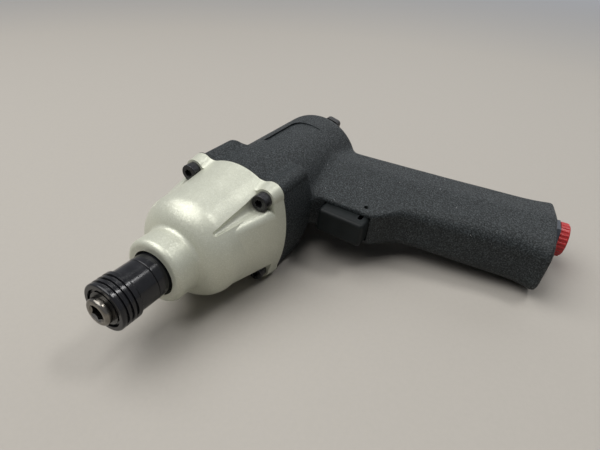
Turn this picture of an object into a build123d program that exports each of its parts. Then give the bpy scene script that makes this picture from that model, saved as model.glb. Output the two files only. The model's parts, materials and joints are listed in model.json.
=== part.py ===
from build123d import *
from math import cos, pi, radians, sin, sqrt, tan
import os

# Pistol-grip air impact screwdriver with a quick-change hex chuck, lying on its right side.
# X runs down the grip, Y runs rearwards along the spindle, Z points to the tool's left,
# which is up as it lies. The origin is the mouth of the bit socket. Sizes are millimetres.

# Clearances
RUN = 0.05  # radial gap of a turning or sliding fit
SEAT = 0.02  # gap round a piece that is pressed or clamped in place
FACE = 0.3  # gap between faces that move past each other
TOUCH = 0.05  # gap between faces that rest against each other but part in use

# Bit socket and chuck, from the socket's mouth rearwards
HEX_AF = 6.5
HEX_DEPTH = 26.0
HEX_CHAMFER = 0.9
SPINDLE_R = 6.35
SPINDLE_ROUND = 1.3
SLEEVE_SETBACK = 3.5
SLEEVE_LENGTH = 20.5
SLEEVE_R = 10.3
SLEEVE_ROUND = 0.8
RIB_LENGTH = 10.0
RIB_HEIGHT = 1.0
RIB_GROOVES = 3
RIB_GROOVE_WIDTH = 1.3
RIB_GROOVE_DEPTH = 0.9
SPRING_POCKET_R = 9.1
SPRING_POCKET_DEPTH = 11.7
SNAP_RING_SETBACK = 3.6
SNAP_RING_WIDTH = 1.0
SNAP_RING_DEPTH = 0.6
SNAP_RING_R = 7.7
SNAP_RING_GAP = 4.0
CHUCK_WASHER = 1.0
CHUCK_WIRE_R = 0.5
CHUCK_COILS = 4.5
BALL_R = 1.75
BALL_STATION = 18.5
RELEASE_ANGLE = 12.0
COLLAR_LENGTH = 8.9
COLLAR_ROUND = 0.5
COLLAR_INSET = 3.0

# Hammer case
NOSE_R = 16.0
NOSE_LENGTH = 13.0
NOSE_ROUND = 2.6
NOSE_BLEND = 2.2
RECESS_R = 11.3
DOME_RISE = 4.0
DOME_R = 26.0
DOME_ROUND = 13.0
CASE_R = 27.2
CASE_FLARE = 19.5
CASE_FLARE_ROUND = 60.0
CASE_WALL = 4.5
CAVITY_BEVEL = 2.2
SCALLOP_R = 4.75
SCALLOP_TIP_R = 1.2
SCALLOP_TIP_DROP = 5.0
SCALLOP_LENGTH = 32.0
PAD_BITE = 0.8
PAD_DROP = 2.0
PAD_LENGTH = 30.5
PAD_TIP_REACH = 25.0
PAD_TIP_HALF = 16.6
PAD_TIP_DROP = 6.3
PAD_ROUND = 5.0

# Flange between the case and the housing: a circle with two bowed sides and four screw ears
FLANGE_R = 30.0
FLANGE_DRAFT = 9.0
SIDE_REACH = 1.2
SIDE_TUCK = 0.3
EAR_OFFSET = 0.55
EAR_R = 6.5
EAR_THICKNESS = 7.0
EAR_BLEND = 7.0
EAR_FRONT_BLEND = 2.0

# Anvil journal, its bush and its seal
JOURNAL_R = 8.0
SEAL_GAP = 1.0
SEAL_WIDTH = 3.0
BUSH_WALL = 2.5
BUSH_LENGTH = 15.0

# Impact mechanism
ANVIL_FLANGE = 2.2
ANVIL_FLANGE_R = 10.4
ANVIL_CORE_R = 7.4
JAW_R = 10.5
JAW_WIDTH = 8.0
PILOT_R = 4.0
PILOT_LENGTH = 2.4
CAGE_PLATE = 4.0
CAGE_HUB = 6.8
CAGE_WALL = 2.0
CAGE_RIB_WIDTH = 13.0
HAMMER_WIDTH = 10.5
HAMMER_R = 18.7
HAMMER_BORE_R = 11.8
HAMMER_LUG_WIDTH = 6.0
HAMMER_LUG_R = 8.7
HAMMER_PIN_R = 2.2
HAMMER_PIN_SPREAD = 15.3
HAMMER_SWING = 4.0
CASE_END_GAP = 2.0

# Air motor
GASKET = 0.6
FRONT_PLATE = 9.4
FRONT_PLATE_R = 24.0
FRONT_PLATE_FLANGE = 3.4
CYLINDER_R = 21.4
CYLINDER_LENGTH = 38.0
CYLINDER_BORE_R = 17.6
CYLINDER_OFFSET = 1.9
REAR_PLATE = 8.0
PORT_COUNT = 5
PORT_R = 1.8
PORT_PITCH = 6.0
DOWEL_R = 1.25
DOWEL_SPREAD = 20.0
ROTOR_R = 15.2
VANE_COUNT = 6
VANE_THICKNESS = 2.0
VANE_DEPTH = 7.0
VANE_PROUD = 0.25
SHAFT_R = 5.0
TAIL_R = 4.0
SPLINE_TEETH = 8
SPLINE_ROOT_R = 4.2
SPLINE_TOOTH = 1.4
BEARING_WIDTH = 6.0
FRONT_BEARING_R = 11.0
FRONT_BEARING_SPLIT_R = 8.0
REAR_BEARING_R = 9.5
REAR_BEARING_SPLIT_R = 6.75

# Screws that hold the case to the housing
SCREW_R = 2.5
SCREW_HEAD_R = 4.25
SCREW_HEAD = 5.0
SCREW_LENGTH = 28.0
SCREW_KEY_AF = 4.0
SCREW_KEY_DEPTH = 2.6
SCREW_ROUND = 0.5
SCREW_HOLE_R = 2.75
SCREW_END_ROOM = 2.0

# Motor housing barrel
BARREL_LENGTH = 93.0
BARREL_REAR_ROUND = 8.0
BOSS_STEP = 1.5
BOSS_LENGTH = 28.5
BOSS_END = 5.0
PLATE_FRONT = 36.0
PLATE_LENGTH = 34.5
PLATE_TOP = 9.8
PLATE_BOTTOM = 12.0
PLATE_SHIFT = 1.4
PLATE_SINK = 0.6
PLATE_ROUND = 5.0

# Grip sections, each square to the grip's axis. The columns are the distance down the grip,
# the reach ahead of and behind the axis, the half widths at the front, at the axis and at the
# back, and the rounding of the front corners.
BLOCK_HALF = 9.5  # the trigger block at the top of the grip
GRIP_RAKE = 8.5
GRIP_SETBACK = 33.6  # the grip's axis, ahead of the barrel's rear end
ROOT_HALF = 18.0
GRIP_SECTIONS = (
    (8.0, 31.7, 27.0, BLOCK_HALF, ROOT_HALF, 14.2, 2.0),
    (36.0, 34.2, 25.5, BLOCK_HALF, 17.0, 13.6, 2.0),
    (60.5, 36.2, 26.1, BLOCK_HALF, 16.5, 13.6, 2.0),
    (67.6, 29.8, 26.3, 9.9, 16.3, 13.6, 3.0),
    (75.0, 25.6, 26.6, 10.8, 16.2, 13.6, 4.8),
    (82.0, 24.6, 26.7, 11.5, 16.2, 13.6, 6.0),
    (110.0, 24.5, 26.3, 13.3, 17.2, 14.0, 9.0),
    (134.0, 24.0, 26.0, 13.8, 18.0, 14.5, 9.0),
    (146.4, 26.6, 27.5, 14.0, 19.0, 15.0, 8.0),
)
GRIP_SPANS = 19
GRIP_BLEND = 8.0
FLANK_ROUND = 20.0
SPINE_ROUND = 10.0
HEEL_ROUND = 1.8

# Trigger and throttle valve at the front of the grip
BLOCK_FRONT = 35.5
TRIGGER_CENTRE = 49.3
TRIGGER_HEIGHT = 26.4
TRIGGER_WIDTH = 14.0
TRIGGER_PROUD = 8.5
TRIGGER_DEPTH = 19.0
TRIGGER_ROUND = 2.0
TRIGGER_TRAVEL = 7.0
TRIGGER_PIN_R = 1.25
TRIGGER_PIN_DROP = 8.6
TRIGGER_PIN_INSET = 4.7
STEM_R = 2.0
THROTTLE_R = 6.5
THROTTLE_BUSH_LENGTH = 17.0
THROTTLE_PORT_R = 2.2
VALVE_R = 5.2
VALVE_THICKNESS = 3.5
VALVE_SEAL_R = 0.8
THROTTLE_ROOM = 13.0
THROTTLE_WIRE_R = 0.45
THROTTLE_COIL_R = 3.6
THROTTLE_COILS = 4.5

# Reversing valve at the rear of the barrel
VALVE_BUSH_R = 11.0
VALVE_BUSH_GAP = 2.0
SPOOL_R = 8.0
SPOOL_SLOT = 5.0
SPOOL_SLOT_LENGTH = 9.0
DIAL_R = 17.5
DIAL_RECESS_R = 18.5
DIAL_RIM = 1.0
DIAL_THICKNESS = 4.6
DIAL_BAR_REACH = 25.8
DIAL_BAR_WIDTH = 9.6
DIAL_BAR_HEIGHT = 5.0
DIAL_BAR_ROUND = 2.5
DIAL_BAR_TURN = 10.0
DIAL_ROUND = 1.0
DIAL_NOTCHES = 12
DIAL_NOTCH_R = 1.4
DIAL_SCREW_R = 1.5
DIAL_SCREW_HEAD_R = 2.75
DIAL_SCREW_HEAD = 1.6
DIAL_SCREW_LENGTH = 12.0
RING_R = 0.9

# Air inlet at the heel
INLET_SHIFT = 12.5
INLET_R = 8.5
INLET_LENGTH = 26.0
INLET_HEX_AF = 17.5
INLET_HEX = 6.0
INLET_THREAD_R = 5.7
INLET_MOUTH_R = 7.0
INLET_MOUTH = 5.0
INLET_RING_R = 0.9
PASSAGE_R = 5.0
PASSAGE_TOP = 62.0
SCREEN_THICKNESS = 1.0
SCREEN_RINGS = 2
SCREEN_HOLE_R = 0.7
EXHAUST_PLATE = 2.0
EXHAUST_MARGIN = 5.0
EXHAUST_ROUND = 6.0
EXHAUST_SLOTS = 5
EXHAUST_SLOT_WIDTH = 1.6
MUFFLER_DEPTH = 9.0
MUFFLER_LENGTH = 15.0
MUFFLER_WIDTH = 20.0
PLUG_R = 9.6
PLUG_RIM = 5.0
PLUG_RIDGES = 24
PLUG_RIDGE_R = 0.9
PLUG_SPIGOT = 4.0
PLUG_ROUND = 0.8

# Stations along the spindle, each worked out from the pieces ahead of it
SLEEVE_REAR = SLEEVE_SETBACK + SLEEVE_LENGTH
COLLAR_FRONT = SLEEVE_REAR + TOUCH
COLLAR_REAR = COLLAR_FRONT + COLLAR_LENGTH
NOSE_FRONT = COLLAR_REAR - COLLAR_INSET
SEAL_FRONT = COLLAR_REAR + SEAL_GAP
BUSH_FRONT = SEAL_FRONT + SEAL_WIDTH
BUSH_REAR = BUSH_FRONT + BUSH_LENGTH
FLANGE_FRONT = BUSH_REAR + FACE
FLANGE_REAR = FLANGE_FRONT + ANVIL_FLANGE
CAGE_FRONT = FLANGE_REAR + FACE
HAMMER_FRONT = CAGE_FRONT + CAGE_PLATE + FACE
HAMMER_PITCH = HAMMER_WIDTH + FACE
HUB_FRONT = HAMMER_FRONT + 2 * HAMMER_PITCH
HUB_REAR = HUB_FRONT + CAGE_HUB
CASE_REAR = HUB_REAR + CASE_END_GAP
HOUSING_FRONT = CASE_REAR + GASKET
CYLINDER_FRONT = HOUSING_FRONT + FRONT_PLATE
CYLINDER_REAR = CYLINDER_FRONT + CYLINDER_LENGTH
MOTOR_REAR = CYLINDER_REAR + REAR_PLATE
HOUSING_REAR = HOUSING_FRONT + BARREL_LENGTH
VALVE_BUSH_FRONT = MOTOR_REAR + VALVE_BUSH_GAP
DIAL_FRONT = HOUSING_REAR + FACE - DIAL_THICKNESS
EAR_FRONT = CASE_REAR - EAR_THICKNESS
CAVITY_R = CASE_R - CASE_WALL
CAGE_R = CAVITY_R - 2 * FACE
BARREL_R = FLANGE_R - BOSS_STEP
EAR_RADIAL = FLANGE_R + EAR_OFFSET
EAR_SPREAD = EAR_RADIAL / sqrt(2)
EAR_FRONT_DRAFT = EAR_THICKNESS * tan(radians(FLANGE_DRAFT))
PAD_HALF = EAR_SPREAD - SCALLOP_R + PAD_BITE

# Heel of the grip
GRIP_LENGTH = GRIP_SECTIONS[-1][0] + HEEL_ROUND
HEEL_FRONT = GRIP_SECTIONS[-1][1]
HEEL_BACK = GRIP_SECTIONS[-1][2]
HEEL_HALF = GRIP_SECTIONS[-1][3]
MUFFLER_TOP = GRIP_LENGTH - EXHAUST_PLATE - MUFFLER_DEPTH

# Stations of the trigger and throttle valve, which slide along Y
GRIP_Y = HOUSING_REAR - GRIP_SETBACK
BLOCK_FACE = GRIP_Y + TRIGGER_CENTRE * tan(radians(GRIP_RAKE)) - BLOCK_FRONT
TRIGGER_FRONT = BLOCK_FACE - TRIGGER_PROUD
TRIGGER_REAR = TRIGGER_FRONT + TRIGGER_DEPTH
SLOT_REAR = TRIGGER_REAR + TRIGGER_TRAVEL + FACE
THROTTLE_REAR = SLOT_REAR + THROTTLE_BUSH_LENGTH
VALVE_FRONT = THROTTLE_REAR + TOUCH + 2 * VALVE_SEAL_R
VALVE_REAR = VALVE_FRONT + VALVE_THICKNESS
CHAMBER_REAR = VALVE_REAR + THROTTLE_ROOM
PIN_X = TRIGGER_CENTRE + TRIGGER_PIN_DROP
PIN_Y = BLOCK_FACE + TRIGGER_PIN_INSET


def across(station):
    """Plane square to the spindle, facing rearwards."""
    return Plane(origin=(0, station, 0), x_dir=(1, 0, 0), z_dir=(0, 1, 0))


def down_grip(along):
    """Plane square to the grip: its x runs rearwards and its y to the tool's left."""
    rake = radians(GRIP_RAKE)
    middle = (along * cos(rake), GRIP_Y + along * sin(rake), 0)
    return Plane(origin=middle, x_dir=(-sin(rake), cos(rake), 0), z_dir=(cos(rake), sin(rake), 0))


def at_inlet(along):
    """Place on the inlet's axis, which runs down the grip behind its middle."""
    return down_grip(along) * Pos(INLET_SHIFT, 0)


def turned(*outline):
    """Solid of revolution about the spindle from (station, radius) corners."""
    return revolve(outline_face(outline), Axis.Y)


def outline_face(outline):
    return make_face(Polyline(*[(radius, station) for station, radius in outline], close=True))


def softened(face, *corners):
    """Round chosen (station, radius) corners of a face, each with its own fillet size."""
    for station, radius, size in corners:
        corner = face.vertices().sort_by_distance((radius, station, 0))[0]
        face = fillet(corner, size)
    return face


def tube(start, end, outer, inner=0.0):
    """Straight round piece on the spindle axis, bored if inner is given."""
    return pipe(across(start), end - start, outer, inner)


def pipe(plane, length, outer, inner=0.0):
    section = Circle(outer)
    if inner > 0:
        section -= Circle(inner)
    return extrude(plane * section, length)


def rod(x, y, z, direction, length, radius):
    return pipe(Plane(origin=(x, y, z), z_dir=direction), length, radius)


def torus_ring(plane, middle_radius, wire_radius):
    """O-ring lying in a plane."""
    return plane * Torus(middle_radius, wire_radius)


def screw_spots():
    return [(x, z) for x in (-EAR_SPREAD, EAR_SPREAD) for z in (-EAR_SPREAD, EAR_SPREAD)]


def flange_outline(inset=0.0, blend=EAR_BLEND):
    """Round flange with two bowed sides and four screw ears, shared by case, gasket and housing."""
    outline = Circle(FLANGE_R - inset)
    for turn in (0, 180):
        outline += Rot(0, 0, turn) * bowed_side(inset)
    for x, z in screw_spots():
        outline += Pos(x, z) * Circle(EAR_R - inset)
    return fillet(waists(outline, inset), blend)


def bowed_side(inset):
    """Shallow arc from ear to ear, filled in as far as the middle."""
    drop = FLANGE_R + SIDE_REACH - EAR_SPREAD - EAR_R + SIDE_TUCK
    return bowed_face(FLANGE_R + SIDE_REACH - inset, drop, EAR_SPREAD, 0)


def bowed_face(reach, drop, half, back):
    """Flat face whose edge towards +X is an arc that drops back at both ends."""
    bow = ThreePointArc((reach - drop, -half), (reach, 0), (reach - drop, half))
    rest = Polyline(bow @ 1, (back, half), (back, -half), bow @ 0)
    return make_face([bow, *rest.edges()])


def waists(outline, inset):
    """Corners where an ear meets the round flange."""

    def is_waist(corner):
        on_flange = abs(Vector(corner.X, corner.Y).length - FLANGE_R + inset) < RUN
        spread = [Vector(corner.X - x, corner.Y - z).length for x, z in screw_spots()]
        return on_flange and abs(min(spread) - EAR_R + inset) < RUN

    return outline.vertices().filter_by(is_waist)


def helix_tube(start, end, coil_radius, wire_radius, coils):
    """Compression spring on the Y axis, its wire swept along quarter-turn arcs."""
    quarters = int(round(coils * 4))
    rise = (end - start - 2 * wire_radius) / quarters
    first = start + wire_radius

    def point(step):
        angle = step * pi / 2
        return Vector(coil_radius * cos(angle), first + rise * step, coil_radius * sin(angle))

    arcs = [ThreePointArc(point(n), point(n + 0.5), point(n + 1)) for n in range(quarters)]
    path = Wire(arcs)
    section = Plane(origin=path @ 0, z_dir=path % 0) * Circle(wire_radius)
    gap = 4 * rise - 2 * wire_radius
    print(f"spring coil gap {gap:.2f} mm")
    return sweep(section, path=path)


def hammer_case():
    case = case_body() + case_flange()
    for turn in (0, 180):
        case += Rot(0, turn, 0) * side_pad()
    for hollow in at_ears(ear_scallop()):
        case -= hollow
    for x, z in screw_spots():
        case -= rod(x, EAR_FRONT - SCREW_HEAD, z, (0, 1, 0), EAR_THICKNESS + SCREW_HEAD, SCREW_HOLE_R)
    return case - case_bore()


def case_body():
    """Turned shell: a round nose that steps out into the dome, which flares towards the flange."""
    waist = NOSE_FRONT + NOSE_LENGTH
    dome = waist + DOME_RISE
    flare = CASE_REAR - CASE_FLARE
    edge = FLANGE_R - EAR_FRONT_DRAFT - SEAT
    corners = [
        (NOSE_FRONT, 0),
        (NOSE_FRONT, NOSE_R),
        (waist, NOSE_R),
        (dome, DOME_R),
        (flare, CASE_R),
        (EAR_FRONT, edge),
        (CASE_REAR, edge),
        (CASE_REAR, 0),
    ]
    face = softened(
        outline_face(corners),
        (NOSE_FRONT, NOSE_R, NOSE_ROUND),
        (waist, NOSE_R, NOSE_BLEND),
        (dome, DOME_R, DOME_ROUND),
        (flare, CASE_R, CASE_FLARE_ROUND),
    )
    return revolve(face, Axis.Y)


def case_flange():
    """Rear edge of the case, drawn in towards the front so that it runs out of the body."""
    front = across(EAR_FRONT) * flange_outline(EAR_FRONT_DRAFT, EAR_FRONT_BLEND)
    return loft([front, across(CASE_REAR) * flange_outline()], ruled=True)


def side_pad():
    """Pad that carries a bowed side forward and fades into the dome, built on the +X side."""
    reach = FLANGE_R + SIDE_REACH - EAR_FRONT_DRAFT - SEAT
    root = across(EAR_FRONT) * bowed_face(reach, PAD_DROP, PAD_HALF, JOURNAL_R)
    tip = bowed_face(PAD_TIP_REACH, PAD_TIP_DROP, PAD_TIP_HALF, JOURNAL_R)
    pad = loft([root, across(EAR_FRONT - PAD_LENGTH) * tip])
    crests = pad.edges().group_by(Axis.Y)[1].sort_by(Axis.X)[-2:]
    return fillet(crests, PAD_ROUND)


def at_ears(piece):
    """A piece built along +X, turned to the ear at +X and +Z and mirrored to the other three."""
    pair = [Rot(0, -45, 0) * piece]
    pair.append(mirror(pair[0], Plane.YZ))
    return pair + [mirror(one, Plane.XY) for one in pair]


def ear_scallop():
    """Tapered hollow ahead of a screw head, with a round tip on the dome."""
    start = Vector(EAR_RADIAL, EAR_FRONT, 0)
    run = Vector(-SCALLOP_TIP_DROP, -SCALLOP_LENGTH, 0)
    from_start = (Align.CENTER, Align.CENTER, Align.MIN)
    taper = Cone(SCALLOP_R, SCALLOP_TIP_R, run.length, align=from_start)
    taper = Plane(origin=start, z_dir=run) * taper
    tip = Pos(*(start + run)) * Sphere(SCALLOP_TIP_R)
    pocket = pipe(across(EAR_FRONT - SCREW_HEAD) * Pos(EAR_RADIAL, 0), SCREW_HEAD, SCALLOP_R)
    return ((taper + tip) & tube(NOSE_FRONT, EAR_FRONT, 2 * EAR_RADIAL)) + pocket


def case_bore():
    """Room inside the case for the seal, the bush and the impact mechanism."""
    bush_r = JOURNAL_R + BUSH_WALL
    return turned(
        (NOSE_FRONT, 0),
        (NOSE_FRONT, RECESS_R),
        (BUSH_FRONT, RECESS_R),
        (BUSH_FRONT, bush_r),
        (BUSH_REAR, bush_r),
        (BUSH_REAR, CAVITY_R - CAVITY_BEVEL),
        (BUSH_REAR + CAVITY_BEVEL, CAVITY_R),
        (CASE_REAR, CAVITY_R),
        (CASE_REAR, 0),
    )


def case_gasket():
    sheet = extrude(across(CASE_REAR) * flange_outline(), GASKET)
    for x, z in screw_spots():
        sheet -= rod(x, CASE_REAR, z, (0, 1, 0), GASKET, SCREW_HOLE_R)
    return sheet - tube(CASE_REAR, HOUSING_FRONT, CAVITY_R)


def case_screws():
    return [Pos(x, EAR_FRONT, z) * socket_screw() for x, z in screw_spots()]


def socket_screw():
    """Cap screw with its head's underside at the origin, pointing along +Y."""
    head = tube(-SCREW_HEAD, 0, SCREW_HEAD_R)
    head = fillet(head.edges().group_by(Axis.Y)[0], SCREW_ROUND)
    screw = head + tube(0, SCREW_LENGTH, SCREW_R)
    key = RegularPolygon(SCREW_KEY_AF / 2, 6, False)
    return screw - extrude(across(-SCREW_HEAD) * key, SCREW_KEY_DEPTH)


def anvil_bush():
    return tube(BUSH_FRONT, BUSH_REAR, JOURNAL_R + BUSH_WALL - SEAT, JOURNAL_R + RUN)


def nose_seal():
    """Lip seal: an L-shaped ring whose lip runs on the journal."""
    lip = JOURNAL_R + RUN
    seal = tube(SEAL_FRONT, BUSH_FRONT, RECESS_R - SEAT, lip)
    middle = (RECESS_R + lip) / 2
    groove = BUSH_WALL / 4
    return seal - tube(SEAL_FRONT, SEAL_FRONT + SEAL_WIDTH / 2, middle + groove, middle - groove)


def anvil():
    groove = SPINDLE_R - SNAP_RING_DEPTH
    ring_front = SNAP_RING_SETBACK
    ring_rear = ring_front + SNAP_RING_WIDTH
    pilot_front = HUB_FRONT - FACE
    corners = [
        (0, 0),
        (0, SPINDLE_R),
        (ring_front, SPINDLE_R),
        (ring_front, groove),
        (ring_rear, groove),
        (ring_rear, SPINDLE_R),
        (COLLAR_FRONT, SPINDLE_R),
        (COLLAR_FRONT, JOURNAL_R),
        (FLANGE_FRONT, JOURNAL_R),
        (FLANGE_FRONT, ANVIL_FLANGE_R),
        (FLANGE_REAR, ANVIL_FLANGE_R),
        (FLANGE_REAR, ANVIL_CORE_R),
        (pilot_front, ANVIL_CORE_R),
        (pilot_front, PILOT_R),
        (pilot_front + PILOT_LENGTH, PILOT_R),
        (pilot_front + PILOT_LENGTH, 0),
    ]
    body = revolve(softened(outline_face(corners), (0, SPINDLE_R, SPINDLE_ROUND)), Axis.Y)
    for side, front in ((1, HAMMER_FRONT), (-1, HAMMER_FRONT + HAMMER_PITCH)):
        body += anvil_jaw(front, side)
    hexagon = RegularPolygon(HEX_AF / 2, 6, False)
    body -= extrude(across(0) * Rot(0, 0, 30) * hexagon, HEX_DEPTH)
    mouth = HEX_AF / sqrt(3) + HEX_CHAMFER / 2
    throat = (HEX_AF - HEX_CHAMFER) / 2
    body -= turned((0, 0), (0, mouth), (mouth - throat, throat), (mouth - throat, 0))
    return body - rod(0, BALL_STATION, 0, (0, 0, 1), SPINDLE_R, BALL_R + RUN)


def anvil_jaw(front, side):
    """Striking jaw on one side of the anvil's core."""
    jaw = tube(front, front + HAMMER_WIDTH, JAW_R)
    middle = front + HAMMER_WIDTH / 2
    return jaw & Pos(side * JAW_R / 2, middle, 0) * Box(JAW_R, HAMMER_WIDTH, JAW_WIDTH)


def chuck_sleeve():
    front = SLEEVE_SETBACK
    rear = SLEEVE_REAR
    rib_rear = front + RIB_LENGTH
    shoulder = front + SPRING_POCKET_DEPTH
    land = SPINDLE_R + RUN
    flare = land + (rear - BALL_STATION) * tan(radians(RELEASE_ANGLE))
    rib_r = SLEEVE_R + RIB_HEIGHT
    corners = [
        (front, SPRING_POCKET_R),
        (front, rib_r),
        (rib_rear, rib_r),
        (rib_rear + RIB_HEIGHT, SLEEVE_R),
        (rear, SLEEVE_R),
        (rear, flare),
        (BALL_STATION, land),
        (shoulder, land),
        (shoulder, SPRING_POCKET_R),
    ]
    face = softened(outline_face(corners), (front, rib_r, SLEEVE_ROUND), (rear, SLEEVE_R, COLLAR_ROUND))
    sleeve = revolve(face, Axis.Y)
    pitch = RIB_LENGTH / (RIB_GROOVES + 1)
    for count in range(RIB_GROOVES):
        sleeve -= rib_groove(front + (count + 1) * pitch, rib_r)
    return sleeve


def rib_groove(middle, rib_r):
    """Grip groove with sloped walls round the sleeve."""
    wide = RIB_GROOVE_WIDTH / 2
    narrow = wide / 2
    floor = rib_r - RIB_GROOVE_DEPTH
    return turned(
        (middle - wide, rib_r),
        (middle - narrow, floor),
        (middle + narrow, floor),
        (middle + wide, rib_r),
    )


def chuck_collar():
    collar = tube(COLLAR_FRONT, COLLAR_REAR, SLEEVE_R, JOURNAL_R + SEAT)
    return fillet(collar.edges().filter_by(GeomType.CIRCLE).sort_by(SortBy.RADIUS)[-2:], COLLAR_ROUND)


def chuck_washer():
    front = SNAP_RING_SETBACK + SNAP_RING_WIDTH + TOUCH
    return tube(front, front + CHUCK_WASHER, SPRING_POCKET_R - FACE, SPINDLE_R + RUN)


def chuck_snap_ring():
    """Open ring that snaps into the groove behind the spindle's tip."""
    front = SNAP_RING_SETBACK + TOUCH
    rear = SNAP_RING_SETBACK + SNAP_RING_WIDTH - TOUCH
    ring = tube(front, rear, SNAP_RING_R, SPINDLE_R - SNAP_RING_DEPTH + SEAT)
    opening = Box(SNAP_RING_GAP, 2 * SNAP_RING_WIDTH, 2 * SNAP_RING_R - SNAP_RING_GAP)
    return ring - Pos(0, front, -SNAP_RING_R) * opening


def chuck_spring():
    start = SNAP_RING_SETBACK + SNAP_RING_WIDTH + CHUCK_WASHER + FACE
    end = SLEEVE_SETBACK + SPRING_POCKET_DEPTH - FACE
    return helix_tube(start, end, (SPINDLE_R + SPRING_POCKET_R) / 2, CHUCK_WIRE_R, CHUCK_COILS)


def chuck_ball():
    return Pos(0, BALL_STATION, SPINDLE_R - BALL_R) * Sphere(BALL_R)


def hammer_cage():
    """Frame that carries the hammers: two end plates, two ribs and a splined hub."""
    front = tube(CAGE_FRONT, CAGE_FRONT + CAGE_PLATE, CAGE_R, JAW_R + FACE)
    hub = tube(HUB_FRONT, HUB_REAR, CAGE_R)
    ribs = tube(CAGE_FRONT, HUB_REAR, CAGE_R, CAGE_R - CAGE_WALL)
    length = HUB_REAR - CAGE_FRONT
    ribs &= Pos(0, CAGE_FRONT + length / 2, 0) * Box(CAGE_RIB_WIDTH, length, 2 * CAGE_R)
    cage = front + hub + ribs
    cage -= tube(HUB_FRONT, HUB_FRONT + PILOT_LENGTH, PILOT_R + RUN)
    cage -= extrude(across(HUB_FRONT) * spline(RUN), CAGE_HUB)
    for side in (-1, 1):
        cage -= rod(side * HAMMER_PIN_SPREAD, CAGE_FRONT, 0, (0, 1, 0), length, HAMMER_PIN_R + SEAT)
    return cage


def spline(clearance=0.0):
    """Toothed drive section of the rotor's front shaft."""
    section = Circle(SPLINE_ROOT_R + clearance)
    reach = SHAFT_R + clearance
    tooth = Pos(reach / 2, 0) * Rectangle(reach, SPLINE_TOOTH + 2 * clearance)
    for count in range(SPLINE_TEETH):
        section += Rot(0, 0, 360 / SPLINE_TEETH * count) * tooth
    return section


def hammer(front, side):
    """Swinging ring with two inner lugs, hung on the pin on one side."""
    ring = tube(front, front + HAMMER_WIDTH, HAMMER_R, HAMMER_BORE_R)
    middle = front + HAMMER_WIDTH / 2
    lugs = tube(front, front + HAMMER_WIDTH, HAMMER_BORE_R + FACE, HAMMER_LUG_R)
    ring += lugs & Pos(0, middle, 0) * Box(HAMMER_LUG_WIDTH, HAMMER_WIDTH, 2 * HAMMER_R)
    pin = HAMMER_PIN_R + RUN
    swing = 2 * HAMMER_PIN_SPREAD * sin(radians(HAMMER_SWING)) + FACE
    ring -= rod(side * HAMMER_PIN_SPREAD, front, 0, (0, 1, 0), HAMMER_WIDTH, pin)
    slot = SlotCenterToCenter(2 * swing, 2 * (pin + FACE), rotation=90)
    return ring - extrude(across(front) * Pos(-side * HAMMER_PIN_SPREAD, 0) * slot, HAMMER_WIDTH)


def hammer_pins():
    length = HUB_REAR - CAGE_FRONT
    spots = (-HAMMER_PIN_SPREAD, HAMMER_PIN_SPREAD)
    return [rod(x, CAGE_FRONT, 0, (0, 1, 0), length, HAMMER_PIN_R) for x in spots]


def front_end_plate():
    rim = HOUSING_FRONT + FRONT_PLATE_FLANGE
    plate = tube(HOUSING_FRONT, rim - TOUCH, FRONT_PLATE_R)
    plate += tube(HOUSING_FRONT, CYLINDER_FRONT, CYLINDER_R)
    plate -= tube(HOUSING_FRONT, HOUSING_FRONT + BEARING_WIDTH, FRONT_BEARING_R + SEAT)
    return plate - tube(HOUSING_FRONT, CYLINDER_FRONT, FRONT_BEARING_SPLIT_R) - dowel(SEAT)


def rear_end_plate():
    plate = tube(CYLINDER_REAR, MOTOR_REAR, CYLINDER_R)
    plate -= tube(MOTOR_REAR - BEARING_WIDTH, MOTOR_REAR, REAR_BEARING_R + SEAT)
    return plate - tube(CYLINDER_REAR, MOTOR_REAR, REAR_BEARING_SPLIT_R) - dowel(SEAT)


def motor_cylinder():
    """Cylinder with an off-centre bore and a row of ports towards the grip."""
    barrel = tube(CYLINDER_FRONT, CYLINDER_REAR, CYLINDER_R)
    barrel -= Pos(CYLINDER_OFFSET, 0, 0) * tube(CYLINDER_FRONT, CYLINDER_REAR, CYLINDER_BORE_R)
    first = (CYLINDER_FRONT + CYLINDER_REAR - (PORT_COUNT - 1) * PORT_PITCH) / 2
    for count in range(PORT_COUNT):
        barrel -= rod(0, first + count * PORT_PITCH, 0, (1, 0, 0), 2 * CYLINDER_R, PORT_R)
    return barrel - dowel(SEAT)


def dowel(clearance=0.0):
    """Pin that lines the two end plates up with the cylinder."""
    start = HOUSING_FRONT + FRONT_PLATE_FLANGE
    return rod(-DOWEL_SPREAD + DOWEL_R, start, 0, (0, 1, 0), MOTOR_REAR - start, DOWEL_R + clearance)


def rotor():
    start = CYLINDER_FRONT + FACE
    end = CYLINDER_REAR - FACE
    body = tube(start, end, ROTOR_R) + tube(HUB_REAR, start, SHAFT_R) + tube(end, MOTOR_REAR, TAIL_R)
    body += extrude(across(HUB_FRONT + PILOT_LENGTH + FACE) * spline(), CAGE_HUB - PILOT_LENGTH - FACE)
    for count in range(VANE_COUNT):
        body -= vane(count, SEAT, VANE_DEPTH)
    return body


def vane(count, clearance=0.0, spare=0.0):
    """One blade, held in as far as the tight side of the cylinder allows."""
    height = VANE_DEPTH + VANE_PROUD + spare
    middle = ROTOR_R + VANE_PROUD + spare - height / 2
    length = CYLINDER_LENGTH - 2 * FACE
    blade = Box(height + 2 * clearance, length + 2 * clearance, VANE_THICKNESS + 2 * clearance)
    spot = Pos(middle, (CYLINDER_FRONT + CYLINDER_REAR) / 2, 0)
    return Rot(0, 360 / VANE_COUNT * count, 0) * spot * blade


def rotor_vanes():
    return [vane(count) for count in range(VANE_COUNT)]


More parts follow.
